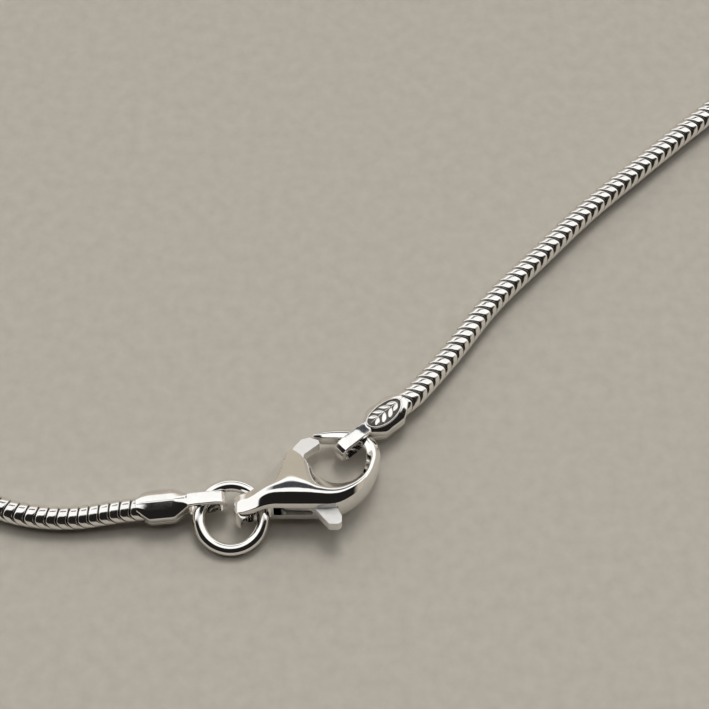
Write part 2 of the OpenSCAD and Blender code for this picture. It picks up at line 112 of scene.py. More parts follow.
# ---------------------------------------------------------------- sizes of the finish only
# Roundings of the clasp's edges: largest radii, then the shares of the edge's height and of the width
# that a radius may take, and how far the other points keep off, as a share of the radius
OUTER_ROUND, INNER_ROUND, OF_HEIGHT, OF_WIDTH, KEEP_OFF = 0.09, 0.07, 0.35, 0.12, 1.2
# Points of a clasp section: before the ridge, after it, evenly over both, and in a rounding
NEAR_POINTS, FAR_POINTS, TOP_POINTS, ROUND_POINTS = 16, 26, 34, 5
ROW_STEPS, CIRCLE_POINTS, RING_SIDES, WIRE_SIDES = 6, 48, 160, 48
LEVER_BEVEL = 0.10
CAP_CROWNED, CAP_SEAM = 0.035, 0.035
EASE_SEAM, EASE_FLANK, EASE, EASE_SHARE = 0.02, 0.10, 0.16, 0.45
OVAL_AT, OVAL_LEN, OVAL_W, OVAL_POINTS = 0.305 * CAP_LEN, 0.5 * CAP_LEN, 0.7 * CAP_W, 96
# Raised lines: half width of the oval's, share of it at an open end and growth from there, depth of the foot
FRAME_LINE, END_SHARE, END_GROWTH, LINE_FOOT, ARC_POINTS = 0.075, 0.35, 5, 0.05, 9
# Each pair of leaves: place from the oval's middle, angle to the stem and length
LEAVES = ((-1.42, 30, 0.90), (-0.74, 42, 1.02), (-0.02, 42, 1.02), (0.70, 36, 0.86))
LEAF_W, LEAF_TIP, LEAF_FROM, LEAF_H, LEAF_POINTS = 0.42, 0.012, 0.04, 0.8 * RELIEF_H, 16
STEM_W, STEM_LEN, STEM_WAVE, STEM_POINTS = 0.05, 3.1, 0.03, 30
FRAME_IN, GROUND_IN, GROUND_UP, GROUND_DOWN = 0.07, 0.1, 0.008, 0.03
GROUND_END, GROUND_ROWS, GROUND_POINTS = 0.995, 41, 15
PITCH, LINK_GAP, LINK_INNER_R = 0.87, 0.085, 0.76
LINK_DOME, LINK_EDGE, EDGE_POWER, POINT_SPREAD = 0.020, 0.090, 9, 0.85
CORE_R, CORE_SHORT, CORE_SECTIONS, CORE_SIDES = 0.78, 0.6, 500, 12
# Offset of a link's band along the chain at four places round it, and where the first place is
LEFT_ZIG, RIGHT_ZIG = np.array([0.40, -0.52, 0.36, 0.14]), np.array([0.30, -0.33, 0.30, -0.33])
LEFT_TURN, RIGHT_TURN = 50.0, 127.0
# Degrees over which the band's kinks are rounded
KINK_SPREAD = (-9, -4.5, 0, 4.5, 9)
# The left end's pattern passes into the right end's between these distances from the two ends
KEEP_LEFT, KEEP_RIGHT = 60, 50
# Links are finer as far as these distances from the two ends; points round a link and across it
FINE_LEFT, FINE_RIGHT = 26.0, 44.0
FINE_LINK, FAR_LINK = (64, 12), (36, 8)
LINE_STEP, LINE_POINTS, LINE_PASSES = 0.4, 2200, 3
MM = 0.001


# ---------------------------------------------------------------- places


def rad(a):
    return math.radians(a)


def angles(n):
    """Evenly spaced angles round a circle."""
    return np.linspace(0, 2 * math.pi, n, endpoint=False)


def unit(v):
    v = np.asarray(v, float)
    return v / np.linalg.norm(v)


def heading(a, p=0.0):
    a, p = rad(a), rad(p)
    return np.array([math.cos(a) * math.cos(p), math.sin(a) * math.cos(p), math.sin(p)])


def move(v):
    m = np.eye(4)
    m[:3, 3] = v
    return m


def turn(axis, angle):
    c, s = math.cos(rad(angle)), math.sin(rad(angle))
    m = np.eye(4)
    i, j = {"x": (1, 2), "y": (2, 0), "z": (0, 1)}[axis]
    m[i, i], m[i, j], m[j, i], m[j, j] = c, -s, s, c
    return m


def clasp_place(x, y):
    return np.array([TAIL_X + x * CLASP_LEN, SPINE_Y + y * CLASP_W])


CLASP_LAY = move([0, 0, CLASP_LIFT]) @ turn("x", -CLASP_ROLL)


def clasp_to_layout(p):
    return (CLASP_LAY @ np.array([*p, 1.0]))[:3]


EYE_END_X, EYE_Y = clasp_place(0.249, 0.12)
PIVOT, HOOK_SEAT = clasp_place(0.427, 0.347), clasp_place(0.852, 0.911)
PIN_LEN = SLOT_H + 2 * PIN_BITE
RING_R = (RING_OD - RING_WIRE) / 2
eye_seat = clasp_to_layout([EYE_END_X, EYE_Y, EYE_FLOOR + WIRE_UP])
ring_rise = eye_seat[2] - (RING_WIRE / 2 + FLOOR_GAP)
RING_TILT = math.degrees(math.asin(ring_rise / (RING_R * (1 + math.sin(rad(RING_TO_CLASP))))))


def on_ring(a):
    a, t = rad(a), rad(RING_TILT)
    return RING_R * np.array([math.cos(a), math.sin(a) * math.cos(t), math.sin(a) * math.sin(t)])


RING_AT = np.array([EYE_END_X - RING_SLACK - RING_OD / 2, *(eye_seat - on_ring(RING_TO_CLASP))[1:]])
CAP_H = CHAIN_D + 2 * (SEAT_GAP + CAP_WALL)
BAIL_OUT = BAIL_H / 2 + STRAP_T
BAIL_FROM = CAP_LEN - STRAP_T - BAIL_LEN
BORE_D, BORE_DEPTH = CHAIN_D + 2 * SEAT_GAP, CHAIN_SEAT + BORE_MORE
left_seat = RING_AT + on_ring(RING_TO_CAP)
right_seat = clasp_to_layout([*HOOK_SEAT, MID_Z]) + [0, 0, HOOK_DROP]
left_reach, right_reach = BAIL_FROM + LEFT_IN_BAIL, BAIL_FROM + RIGHT_IN_BAIL
left_rest_z, right_rest_z = CAP_H / 2 + RELIEF_H + 2 * FLOOR_GAP, CAP_H / 2 + 4 * FLOOR_GAP
LEFT_PITCH = math.degrees(math.asin((left_seat[2] - left_rest_z) / left_reach))
RIGHT_PITCH = math.degrees(math.asin((right_seat[2] - right_rest_z) / right_reach))
LEFT_AXIS, RIGHT_AXIS = heading(LEFT_HEADING, LEFT_PITCH), heading(RIGHT_HEADING, RIGHT_PITCH)
LEFT_MOUTH, RIGHT_MOUTH = left_seat - left_reach * LEFT_AXIS, right_seat - right_reach * RIGHT_AXIS
LEFT_END, RIGHT_END = LEFT_MOUTH + CHAIN_SEAT * LEFT_AXIS, RIGHT_MOUTH + CHAIN_SEAT * RIGHT_AXIS
KNOTS = [LEFT_MOUTH - CHAIN_LEAD * LEFT_AXIS, *[np.array([x, y, CHAIN_D / 2]) for x, y in ROUTE],
         RIGHT_MOUTH - CHAIN_LEAD * RIGHT_AXIS]


def spline(a, b, c, d, t):
    return 0.5 * (2 * b + (c - a) * t + (2 * a - 5 * b + 4 * c - d) * t * t
                  + (3 * b - a - 3 * c + d) * t ** 3)


def chain_curve(step):
    """A smooth curve through the knots that stays above the surface, without the last knot."""
    out = []
    for i in range(len(KNOTS) - 1):
        a = LEFT_MOUTH if i == 0 else KNOTS[i - 1]
        b, c = KNOTS[i], KNOTS[i + 1]
        d = RIGHT_MOUTH if i == len(KNOTS) - 2 else KNOTS[i + 2]
        n = max(1, int(round(np.linalg.norm(c - b) / step)))
        for k in range(n):
            p = spline(a, b, c, d, k / n)
            p[2] = max(p[2], CHAIN_D / 2)
            out.append(p)
    return out


coarse = np.array(chain_curve(CHAIN_STEP) + [KNOTS[-1], LEFT_END, RIGHT_END])
near_y = RING_AT[1] - RING_R * math.cos(rad(RING_TILT)) - RING_WIRE / 2
HOME = -np.array([(coarse[:, 0].max() + coarse[:, 0].min()) / 2,
                  (coarse[:, 1].max() + CHAIN_D / 2 + near_y) / 2, 0])
LAYOUT = move(HOME)
IN_CLASP = LAYOUT @ CLASP_LAY
IN_LEFT = LAYOUT @ move(LEFT_MOUTH) @ turn("z", LEFT_HEADING) @ turn("y", -LEFT_PITCH)
IN_RIGHT = LAYOUT @ move(RIGHT_MOUTH) @ turn("z", RIGHT_HEADING) @ turn("y", -RIGHT_PITCH)
IN_RING = LAYOUT @ move(RING_AT) @ turn("x", RING_TILT)

# ---------------------------------------------------------------- mesh helpers


def grid(rows, columns, round_rows=False, round_columns=False):
    """Four-sided faces over rows of points; a round direction closes on itself."""
    i, j = np.meshgrid(np.arange(rows if round_rows else rows - 1),
                       np.arange(columns if round_columns else columns - 1), indexing="ij")
    i2, j2 = (i + 1) % rows, (j + 1) % columns
    quads = [i * columns + j, i * columns + j2, i2 * columns + j2, i2 * columns + j]
    return np.stack(quads, -1).reshape(-1, 4)


def add_mesh(name, verts, faces, place=np.eye(4)):
    """An object from points in millimetres; faces is an array of quads or a list of any faces."""
    v = (np.asarray(verts, float) @ place[:3, :3].T + place[:3, 3]) * MM
    mesh = bpy.data.meshes.new(name)
    if isinstance(faces, np.ndarray):
        mesh.vertices.add(len(v))
        mesh.vertices.foreach_set("co", v.astype(np.float32).ravel())
        mesh.loops.add(faces.size)
        mesh.loops.foreach_set("vertex_index", faces.astype(np.int32).ravel())
        mesh.polygons.add(len(faces))
        mesh.polygons.foreach_set("loop_start", np.arange(0, faces.size, 4, dtype=np.int32))
        mesh.update(calc_edges=True)
    else:
        mesh.from_pydata([tuple(p) for p in v], [], faces)
        mesh.update()
    mesh.validate()
    mesh.polygons.foreach_set("use_smooth", [True] * len(mesh.polygons))
    obj = bpy.data.objects.new(name, mesh)
    bpy.context.scene.collection.objects.link(obj)
    return obj


def loft(sections, caps=True):
    """Vertices and faces of a skin through closed sections with the same number of points."""
    s = np.asarray(sections, float)
    rows, n = s.shape[:2]
    faces = grid(rows, n, round_columns=True).tolist()
    if caps:
        faces += [list(range(n))[::-1], list(range((rows - 1) * n, rows * n))]
    return s.reshape(-1, 3), faces


def prism(outline, low, high):
    """Vertices and faces of an upright prism."""
    return loft([[[x, y, z] for x, y in outline] for z in (low, high)])


def outward(obj):
    """Turns all faces outward."""
    bm = bmesh.new()
    bm.from_mesh(obj.data)
    bmesh.ops.recalc_face_normals(bm, faces=bm.faces)
    if bm.calc_volume(signed=True) < 0:
        bmesh.ops.reverse_faces(bm, faces=bm.faces)
    bm.to_mesh(obj.data)
    bm.free()


def apply_all(obj):
    """Makes the modifiers' result the object's own mesh."""
    bpy.context.view_layer.update()
    seen = obj.evaluated_get(bpy.context.evaluated_depsgraph_get())
    mesh = bpy.data.meshes.new_from_object(seen)
    obj.modifiers.clear()
    obj.data = mesh


def cut(obj, name, shape, place):
    """Takes a shape, given as vertices and faces, away from an object."""
    cutter = add_mesh(name, *shape, place)
    outward(cutter)
    m = obj.modifiers.new("cut", "BOOLEAN")
    m.operation, m.solver, m.object = "DIFFERENCE", "EXACT", cutter
    apply_all(obj)
    bpy.data.objects.remove(cutter)


def sharpen(obj, angle):
    """Smooth shading, with sharp edges above an angle."""
    obj.data.polygons.foreach_set("use_smooth", [True] * len(obj.data.polygons))
    obj.data.set_sharp_from_angle(angle=rad(angle))


def bevel(obj, width, segments, angle):
    m = obj.modifiers.new("bevel", "BEVEL")
    m.width, m.segments, m.limit_method, m.angle_limit = width * MM, segments, "ANGLE", rad(angle)
    m.use_clamp_overlap = True
    apply_all(obj)


def corner(a, b, c, steps):
    """The arc that rounds corner b between a and c, whose third number is the radius."""
    a, b, c, r = np.array(a[:2]), np.array(b[:2]), np.array(c[:2]), b[2]
    u, v = unit(a - b), unit(c - b)
    half = math.acos(np.clip(u @ v, -1, 1)) / 2
    centre = b + unit(u + v) * r / math.sin(half)
    f, t = b + u * r / math.tan(half) - centre, b + v * r / math.tan(half) - centre
    sweep = math.atan2(f[0] * t[1] - f[1] * t[0], f @ t)
    return [centre + [f[0] * math.cos(q) - f[1] * math.sin(q), f[0] * math.sin(q) + f[1] * math.cos(q)]
            for q in sweep * np.arange(steps + 1) / steps]


def rounded(points, steps=8):
    """An outline of straight sides whose corners are rounded."""
    n = len(points)
    return np.array([q for i in range(n)
                     for q in corner(points[i - 1], points[i], points[(i + 1) % n], steps)])


def clasp_outline(points):
    return rounded([[*clasp_place(x, y), r] for x, y, r in points])


def soften(a, p, b, steps):
    """A curve from a to b that takes the place of corner p."""
    return [(1 - k) ** 2 * a + 2 * k * (1 - k) * p + k * k * b for k in np.linspace(0, 1, steps)]


def smooth_rows(rows, steps, straight_from=None):
    """A smooth curve through the rows, and straight lines from a given row on."""
    rows = np.asarray(rows, float)
    last = len(rows) - 1
    out = []
    for i in range(last):
        a, b, c, d = rows[max(i - 1, 0)], rows[i], rows[i + 1], rows[min(i + 2, last)]
        straight = straight_from is not None and i >= straight_from
        out += [b + (c - b) * t if straight else spline(a, b, c, d, t) for t in np.arange(steps) / steps]
    return np.array(out + [rows[-1]])


def gone_by(points):
    """Distance gone at each point of a line."""
    return np.concatenate([[0], np.cumsum(np.linalg.norm(np.diff(points, axis=0), axis=1))])


def at(s, gone, table):
    """Rows of a table at distances s, where gone has the distance of each row."""
    return np.stack([np.interp(s, gone, table[:, k]) for k in range(3)], -1)


# ---------------------------------------------------------------- materials


def tone(tree, stops):
    """A colour ramp with stops of a place and a colour."""
    node = tree.nodes.new("ShaderNodeValToRGB")
    while len(node.color_ramp.elements) < len(stops):
        node.color_ramp.elements.new(0.5)
    for e, (place, colour) in zip(node.color_ramp.elements, stops):
        e.position, e.color = place, (*colour, 1)
    return node


def metal(name, light, dark, rough, grain, bump, shade_and_tarnish=0.0):
    """Polished silver: slight colour drift, uneven gloss, a faint surface wave and, if shade_and_tarnish is
    given, painted shade in the hollows, partly tarnish.
    """
    mat = bpy.data.materials.new(name)
    mat.use_nodes = True
    tree = mat.node_tree
    n, link = tree.nodes, tree.links.new
    shader = n["Principled BSDF"]
    shader.inputs["Metallic"].default_value = 1.0
    where = n.new("ShaderNodeTexCoord")
    fine, wide, wave = (n.new("ShaderNodeTexNoise") for _ in range(3))
    for node, scale, detail in ((fine, grain, 4), (wide, grain * 0.12, 2), (wave, grain * 0.3, 1)):
        node.inputs["Scale"].default_value = scale
        node.inputs["Detail"].default_value = detail
        link(where.outputs["Object"], node.inputs["Vector"])
    drift = tone(tree, [(0.35, dark), (0.62, light)])
    link(wide.outputs["Fac"], drift.inputs["Fac"])
    colour = drift.outputs["Color"]
    # Painted shade: the colour darkens where ambient occlusion finds hollows and gaps, standing partly for
    # tarnish
    if shade_and_tarnish > 0:
        hollow = n.new("ShaderNodeAmbientOcclusion")
        hollow.inputs["Distance"].default_value = 0.3 * MM
        hollow.samples = 4
        shade = tone(tree, [(0.35, [1 - shade_and_tarnish] * 3), (0.85, [1] * 3)])
        link(hollow.outputs["AO"], shade.inputs["Fac"])
        mix = n.new("ShaderNodeMix")
        mix.data_type, mix.blend_type = "RGBA", "MULTIPLY"
        mix.inputs["Factor"].default_value = 1.0
        link(colour, mix.inputs[6])
        link(shade.outputs["Color"], mix.inputs[7])
        colour = mix.outputs[2]
    link(colour, shader.inputs["Base Color"])
    gloss = n.new("ShaderNodeMapRange")
    for key, value in (("From Min", 0.3), ("From Max", 0.7),
                       ("To Min", rough * 0.75), ("To Max", rough * 1.35)):
        gloss.inputs[key].default_value = value
    link(fine.outputs["Fac"], gloss.inputs["Value"])
    link(gloss.outputs["Result"], shader.inputs["Roughness"])
    height = n.new("ShaderNodeBump")
    height.inputs["Strength"].default_value = bump
    height.inputs["Distance"].default_value = 0.02 * MM
    link(wave.outputs["Fac"], height.inputs["Height"])
    link(height.outputs["Normal"], shader.inputs["Normal"])
    return mat


SILVER = metal("silver_polished", (0.95, 0.935, 0.91), (0.90, 0.885, 0.86), 0.07, 2600, 0.10)
LEVER_SILVER = metal("silver_lever", (0.97, 0.955, 0.93), (0.94, 0.93, 0.905), 0.50, 3200, 0.12)
# The cast caps and the links get painted shade in their hollows, partly tarnish, from the last number
CAST = metal("silver_cast", (0.95, 0.935, 0.91), (0.88, 0.865, 0.84), 0.09, 6000, 0.22, 0.9)
CHAIN = metal("silver_links", (0.94, 0.925, 0.90), (0.87, 0.855, 0.83), 0.12, 9000, 0.25, 0.65)
# Near-black silver: patina on the ornament's ground, and painted shade on the chain's core
PATINA_AND_SHADE = metal("silver_patina_and_shade", (0.16, 0.15, 0.14), (0.08, 0.075, 0.07), 0.4, 3000, 0.1)


def dress(obj, mat, body="necklace", nodes=()):
    obj.data.materials.clear()
    obj.data.materials.append(mat)
    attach(obj, body)
    if nodes:
        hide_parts(*nodes)


# ---------------------------------------------------------------- clasp body


def bend(t, level, radius):
    return math.sqrt((t - level) ** 2 + radius ** 2) + t - level


def fall(t, kind):
    """The fall from the ridge to an edge, from 0 to 1: level up to a share of the way, then an even slope."""
    return (bend(t, *kind) - bend(0, *kind)) / (bend(1, *kind) - bend(0, *kind))


def clasp_section(row):
    """A closed section with rounded edges, the lower half first, with the same number of points in each."""
    outer, inner = clasp_place(row[0], row[1]), clasp_place(row[2], row[3])
    ridge = outer + (inner - outer) * row[4]
    high, edge, below = row[5] * CLASP_T, row[6] * CLASP_T, row[7] / row[5]
    drop = (1 - WALL_SHARE) * max(LEAST_DROP, 1 - TAIL_LEVEL * (below - 1))
    line = [np.array([*(outer + (ridge - outer) * u), high * (1 - drop * fall(1 - u, NEAR_FALL))])
            for u in np.linspace(0, 1, NEAR_POINTS)]
    line += [np.array([*(ridge + (inner - ridge) * t), high - (high - edge) * fall(t, FAR_FALL)])
             for t in np.linspace(0, 1, FAR_POINTS)[1:]]
    first, last = line[0], line[-1]
    width = np.linalg.norm(inner - outer)
    ro = min(OUTER_ROUND, OF_HEIGHT * high * (1 - drop), OF_WIDTH * width)
    ri = min(INNER_ROUND, OF_HEIGHT * edge, OF_WIDTH * width)
    start = soften(first - [0, 0, ro], first, first + unit(line[1] - first) * ro, ROUND_POINTS)
    end = soften(last + unit(line[-2] - last) * ri, last, last - [0, 0, ri], ROUND_POINTS)
    middle = np.array([start[-1], *[p for p in line[1:-1] if np.linalg.norm(p - first) > ro * KEEP_OFF
                                    and np.linalg.norm(p - last) > ri * KEEP_OFF], end[0]])
    gone = gone_by(middle)
    top = np.concatenate([start, at(np.linspace(0, gone[-1], TOP_POINTS)[1:-1], gone, middle), end])
    return np.concatenate([top * [1, 1, -below], top[::-1]]) + [0, 0, MID_Z]


UNIT_CIRCLE = np.array([[math.cos(a), math.sin(a)] for a in angles(CIRCLE_POINTS)])
slot_low, bore_half = MID_Z - SLOT_H / 2, PIN_LEN / 2 + PIN_GAP
eye_from, eye_high = EYE_END_X - EYE_LEN, EYE_FLOOR + EYE_H
eye_rows = []
for s, eye_low in ((1, EYE_FLOOR), (0, EYE_FLOOR), (-1, EYE_FLOOR - EYE_FALL)):
    eye_line = rounded([[eye_from, eye_low, EYE_CORNER], [EYE_END_X, eye_low, EYE_CORNER],
                        [EYE_END_X, eye_high, EYE_CORNER], [eye_from, eye_high, EYE_CROWN]])
    eye_rows.append([[x, EYE_Y + s * CLASP_W / 2, z] for x, z in eye_line])

clasp_skin = loft([clasp_section(r) for r in smooth_rows(CLASP_ROWS, ROW_STEPS)])
clasp = add_mesh("clasp_body_cast", *clasp_skin, IN_CLASP)
outward(clasp)
cut(clasp, "slot_cutter", prism(clasp_outline(SLOT), slot_low, slot_low + SLOT_H), IN_CLASP)
cut(clasp, "eye_cutter", loft(eye_rows), IN_CLASP)
pin_bore = PIVOT + UNIT_CIRCLE * (PIN_D / 2 + PIN_GAP)
cut(clasp, "bore_cutter", prism(pin_bore, MID_Z - bore_half, MID_Z + bore_half), IN_CLASP)
sharpen(clasp, angle=32)
dress(clasp, SILVER, nodes=["clasp_body"])

# ---------------------------------------------------------------- lever and pin
lever_low, lever_high = slot_low + LEVER_GAP, slot_low + SLOT_H - LEVER_GAP
lever = add_mesh("clasp_lever_plate", *prism(clasp_outline(LEVER), lever_low, lever_high), IN_CLASP)
outward(lever)
cut(lever, "lever_bore", prism(pin_bore, lever_low - OVER, lever_high + OVER), IN_CLASP)
bevel(lever, LEVER_BEVEL, segments=4, angle=50)
sharpen(lever, angle=30)
dress(lever, LEVER_SILVER, body="lever", nodes=["clasp_lever"])
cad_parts["lever_pin"].data.materials.clear()
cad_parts["lever_pin"].data.materials.append(SILVER)

# ---------------------------------------------------------------- jump ring
p, q = np.meshgrid(angles(RING_SIDES), angles(WIRE_SIDES), indexing="ij")
reach = RING_R + RING_WIRE / 2 * np.cos(q)
ring_points = np.stack([reach * np.cos(p), reach * np.sin(p), RING_WIRE / 2 * np.sin(q)], -1).reshape(-1, 3)
ring = add_mesh("jump_ring_wire", ring_points, grid(RING_SIDES, WIRE_SIDES, True, True), IN_RING)
outward(ring)
dress(ring, SILVER, nodes=["jump_ring"])

# ---------------------------------------------------------------- end caps


def cap_profile(w, h, crown, rim, crowned):
    """Upper half of a cap's section from the near rim to the far rim, with eased corners."""
    near = [(-w + CAP_SEAM, 0), (-w, CAP_SEAM * 1.3), (-w, rim), (-(w + crown) / 2, (h * 3 + rim * 2) / 5),
            (-crown, h - crowned * h)]
    pts = [np.array(p, float) for p in near + [(0, h)] + [(-x, y) for x, y in near[::-1]]]
    eases = [EASE_SEAM, EASE, EASE_FLANK, EASE]
    out = [pts[0]]
    for a, p, b, ease in zip(pts, pts[1:], pts[2:], eases + [EASE] + eases[::-1]):
        r = min(ease, EASE_SHARE * np.linalg.norm(a - p), EASE_SHARE * np.linalg.norm(b - p))
        out += soften(p + unit(a - p) * r, p, p + unit(b - p) * r, 4)
    return np.array(out + [pts[-1]])


def cap_section(row):
    top = cap_profile(*row[1:])
    both = np.concatenate([top, (top * [1, -1])[::-1][1:-1]])
    return np.column_stack([np.full(len(both), row[0]), both])


cap_body = [[r[0] * CAP_LEN, max(r[1] * CAP_W, CAP_TIP_W) / 2, r[2] * CAP_H / 2, r[3] * CAP_W / 2,
             r[4] * CAP_RIM_H / 2, CAP_CROWNED] for r in CAP_BODY]
cap_strap = [[r[0] * CAP_LEN, r[1] * STRAP_W / 2, r[2] * BAIL_OUT, r[3] * STRAP_W / 2, r[4] * BAIL_OUT, 0.0]
             for r in CAP_STRAP]
CAP_ROWS = smooth_rows(cap_body + cap_strap, ROW_STEPS, straight_from=len(cap_body))


def cap_height(x, y):
    """Height of the cap's upper face above its axis."""
    top = cap_profile(*[np.interp(x, CAP_ROWS[:, 0], CAP_ROWS[:, k]) for k in range(1, 6)])
    return float(np.interp(y, top[:, 0], top[:, 1]))


def bead(points, half_width, height, side, closed=False):
    """A raised rounded line on the cap's face along points, thinning at open ends.

    half_width is one number or one for each point; side is -1 for the face below."""
    p = np.array(points, float)
    n = len(p)
    after = np.roll(p, -1, 0) if closed else np.vstack([p[1:], p[-1] * 2 - p[-2]])
    before = np.roll(p, 1, 0) if closed else np.vstack([p[0] * 2 - p[1], p[:-1]])
    along = after - before
    along /= np.linalg.norm(along, axis=1)[:, None]
    across = np.stack([-along[:, 1], along[:, 0]], 1)
    sections = []
    for k in range(n):
        f = k / (n - 1)
        taper = 1.0 if closed else min(1.0, END_SHARE + END_GROWTH * min(f, 1 - f))
        w = half_width[k] if np.ndim(half_width) else half_width * taper
        level = cap_height(*p[k])
        arc = [[*(p[k] + across[k] * w * math.cos(a)), side * (level + height * taper * math.sin(a))]
               for a in np.linspace(0, math.pi, ARC_POINTS)]
        foot = [[*(p[k] + across[k] * w * s), side * (level - LINE_FOOT)] for s in (-1, 1)]
        sections.append(arc + foot)
    if closed:
        sections.append(sections[0])
    return loft(sections, caps=not closed)


def leaf(x, y, angle, length, side):
    """A leaf that is widest about its middle and pointed at its far end."""
    c, s = math.cos(rad(angle)), math.sin(rad(angle))
    steps = np.linspace(0, 1, LEAF_POINTS)
    line = [[x + c * length * k, y + s * length * k] for k in steps]
    width = [max(LEAF_TIP, LEAF_W / 2 * math.sin(math.pi * min(1, 0.08 + 0.92 * k)) ** 0.8) for k in steps]
    return bead(line, width, LEAF_H, side)


def ornament(name, place, side):
    """An oval frame round a stem with four pairs of leaves."""
    a, b = OVAL_LEN / 2 - FRAME_IN, OVAL_W / 2 - FRAME_IN
    oval = [[OVAL_AT + a * math.cos(k), b * math.sin(k)] for k in angles(OVAL_POINTS)]
    stem = [[OVAL_AT + STEM_LEN * (k - 0.5), STEM_WAVE * math.sin(9 * k)]
            for k in np.linspace(0, 1, STEM_POINTS)]
    parts = [bead(oval, FRAME_LINE, RELIEF_H, side, closed=True)]
    parts += [leaf(OVAL_AT + x, LEAF_FROM * s, angle * s, length, side)
              for s in (-1, 1) for x, angle, length in LEAVES]
    parts.append(bead(stem, STEM_W, LEAF_H, side))
    verts, faces, base = [], [], 0
    for part_verts, part_faces in parts:
        verts.append(part_verts)
        faces += [[q + base for q in f] for f in part_faces]
        base += len(part_verts)
    obj = add_mesh(name, np.concatenate(verts), faces, place)
    outward(obj)
    sharpen(obj, angle=60)
    return obj


def ornament_ground(name, place, side):
    """The darkened ground between the leaves: a thin skin inside the oval."""
    a, b = OVAL_LEN / 2 - GROUND_IN, OVAL_W / 2 - GROUND_IN
    sections = []
    for k in np.linspace(-GROUND_END, GROUND_END, GROUND_ROWS):
        half, x = b * math.sqrt(1 - k * k), OVAL_AT + a * k
        line = [(y, cap_height(x, y)) for y in np.linspace(-half, half, GROUND_POINTS)]
        sections.append([[x, y, side * (z + GROUND_UP)] for y, z in line]
                        + [[x, y, side * (z - GROUND_DOWN)] for y, z in line[::-1]])
    obj = add_mesh(name, *loft(sections), place)
    outward(obj)
    sharpen(obj, angle=60)
    return obj


def end_cap(name, place, node, side):
    """A cap with its ornament; side is 1 where the ornament faces up and -1 where it faces the surface."""
    obj = add_mesh(name, *loft([cap_section(r) for r in CAP_ROWS]), place)
    outward(obj)
    h, far = BAIL_H / 2, BAIL_FROM + BAIL_LEN
    opening = rounded([[BAIL_FROM, -h, BAIL_CORNER], [far, -h, BAIL_CROWN], [far, h, BAIL_CROWN],
                       [BAIL_FROM, h, BAIL_CORNER]])
    cut(obj, "bail_cutter", prism(opening, -CAP_W, CAP_W), place @ turn("x", 90))
    cut(obj, "seat_cutter", prism(UNIT_CIRCLE * BORE_D / 2, -OVER, BORE_DEPTH), place @ turn("y", 90))
    sharpen(obj, angle=34)
    dress(obj, CAST, nodes=[node])
    dress(ornament(name + "_ornament", place, side), CAST)
    dress(ornament_ground(name + "_ground", place, side), PATINA_AND_SHADE)


end_cap("end_cap_left_cast", IN_LEFT, "end_cap_left", -1)
end_cap("end_cap_right_cast", IN_RIGHT, "end_cap_right", 1)

# ---------------------------------------------------------------- chain links
course = np.array([LEFT_END, LEFT_MOUTH, *chain_curve(LINE_STEP), KNOTS[-1], RIGHT_MOUTH, RIGHT_END])
gone = gone_by(course)
total = gone[-1]
even = np.linspace(0, total, LINE_POINTS)
line = at(even, gone, course)
for _ in range(LINE_PASSES):
    line[1:-1] = (line[:-2] + 2 * line[1:-1] + line[2:]) / 4
tangent = np.gradient(line, axis=0)
tangent /= np.linalg.norm(tangent, axis=1)[:, None]
sideways = np.cross([0, 0, 1], tangent)
sideways /= np.linalg.norm(sideways, axis=1)[:, None]
upward = np.cross(tangent, sideways)


def round_chain(s, phi, radius):
    """Points round the chain at distances s, angles phi in degrees and a radius, all arrays of one shape."""
    a = np.radians(phi)[..., None]
    radial = np.cos(a) * at(s, even, upward) + np.sin(a) * at(s, even, sideways)
    return at(s, even, line) + radius[..., None] * radial


def zigzag(phi, s):
    """Offset of a link's band along the chain, for angles phi and the link's place s along the chain."""
    w = np.clip((s - KEEP_LEFT) / (total - KEEP_LEFT - KEEP_RIGHT), 0, 1)
    start = LEFT_TURN + (RIGHT_TURN - LEFT_TURN) * w
    values = LEFT_ZIG * (1 - w) + RIGHT_ZIG * w
    out = np.zeros_like(phi)
    for d in KINK_SPREAD:
        q = ((phi + d - start) % 360) / 90
        k = np.floor(q).astype(int) % 4
        f = q - np.floor(q)
        out += values[k] * (1 - f) + values[(k + 1) % 4] * f
    return out / len(KINK_SPREAD)


def link_profile(n):
    """Places across a link's band and the radius there."""
    half = (PITCH - LINK_GAP) / 2
    a = np.linspace(-1, 1, n - 2)
    t = np.sign(a) * np.abs(a) ** POINT_SPREAD * half
    r = CHAIN_D / 2 - LINK_DOME * np.abs(a) ** 2 - LINK_EDGE * np.abs(a) ** EDGE_POWER
    return np.array([-half, *t, half]), np.array([LINK_INNER_R, *r, LINK_INNER_R])


FIRST_LINK = CHAIN_SEAT * 0.35


def links(name, first, last, around, across):
    t, r = link_profile(across)
    phi, tt = np.meshgrid(np.linspace(0, 360, around, endpoint=False), t, indexing="ij")
    rr = np.tile(r, (around, 1))
    one = grid(around, across, round_rows=True)
    verts, quads = [], []
    for k in range(first, last):
        s = FIRST_LINK + k * PITCH
        quads.append(one + len(verts) * around * across)
        verts.append(round_chain(s + zigzag(phi, s) + tt, phi, rr).reshape(-1, 3))
    obj = add_mesh(name, np.concatenate(verts), np.concatenate(quads), LAYOUT)
    dress(obj, CHAIN)
    return obj


count = int((total - 2 * FIRST_LINK) / PITCH) + 1
near_left, near_right = int(FINE_LEFT / PITCH), int((total - FINE_RIGHT) / PITCH)
middle = (near_left + near_right) // 2
made = [links(*span) for span in (
    ("chain_links_left", 0, near_left, *FINE_LINK), ("chain_links_far_left", near_left, middle, *FAR_LINK),
    ("chain_links_far_right", middle, near_right, *FAR_LINK),
    ("chain_links_right", near_right, count, *FINE_LINK))]

